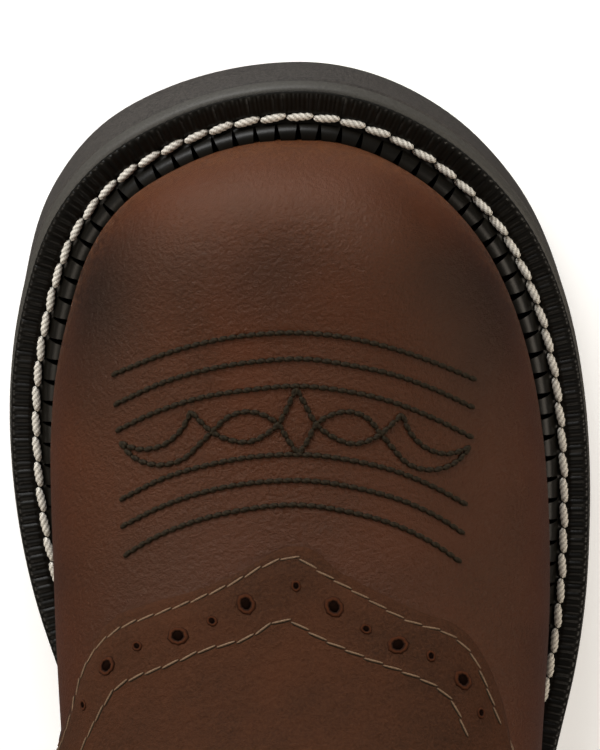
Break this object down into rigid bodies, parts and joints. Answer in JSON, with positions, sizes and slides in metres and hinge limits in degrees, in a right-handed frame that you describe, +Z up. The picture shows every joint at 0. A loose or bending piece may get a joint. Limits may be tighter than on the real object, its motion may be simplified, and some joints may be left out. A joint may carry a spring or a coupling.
{
  "type": "western work boot",
  "caption": "Right-foot pull-on work boot with round toe, storm welt, saddle overlay with a pointed front, block heel and pull straps",
  "frame": {"origin": "on the floor under the middle of the heel's top lift", "axes": "+X towards the outer side of the right foot, +Y towards the toe, +Z up"},
  "size_m": [0.1039, 0.2796, 0.2568],
  "materials": {
    "sole_rubber": "satin",
    "midsole_rubber": "satin",
    "welt": "satin",
    "insole_board": "matte",
    "oiled_leather": "oiled",
    "saddle_leather": "oiled, slightly napped",
    "binding": "satin",
    "strap_webbing": "woven"
  },
  "bodies": {
    "root": {"outsole": "sole_rubber", "midsole": "midsole_rubber", "welt": "welt", "heel_base": "sole_rubber", "heel_top_lift": "sole_rubber", "insole": "insole_board", "upper": "oiled_leather", "saddle": "saddle_leather", "counter": "saddle_leather", "side_seam_medial": "binding", "side_seam_lateral": "binding", "collar_bead": "binding", "pull_strap_medial": "strap_webbing", "pull_strap_lateral": "strap_webbing"}
  },
  "joints": []
}
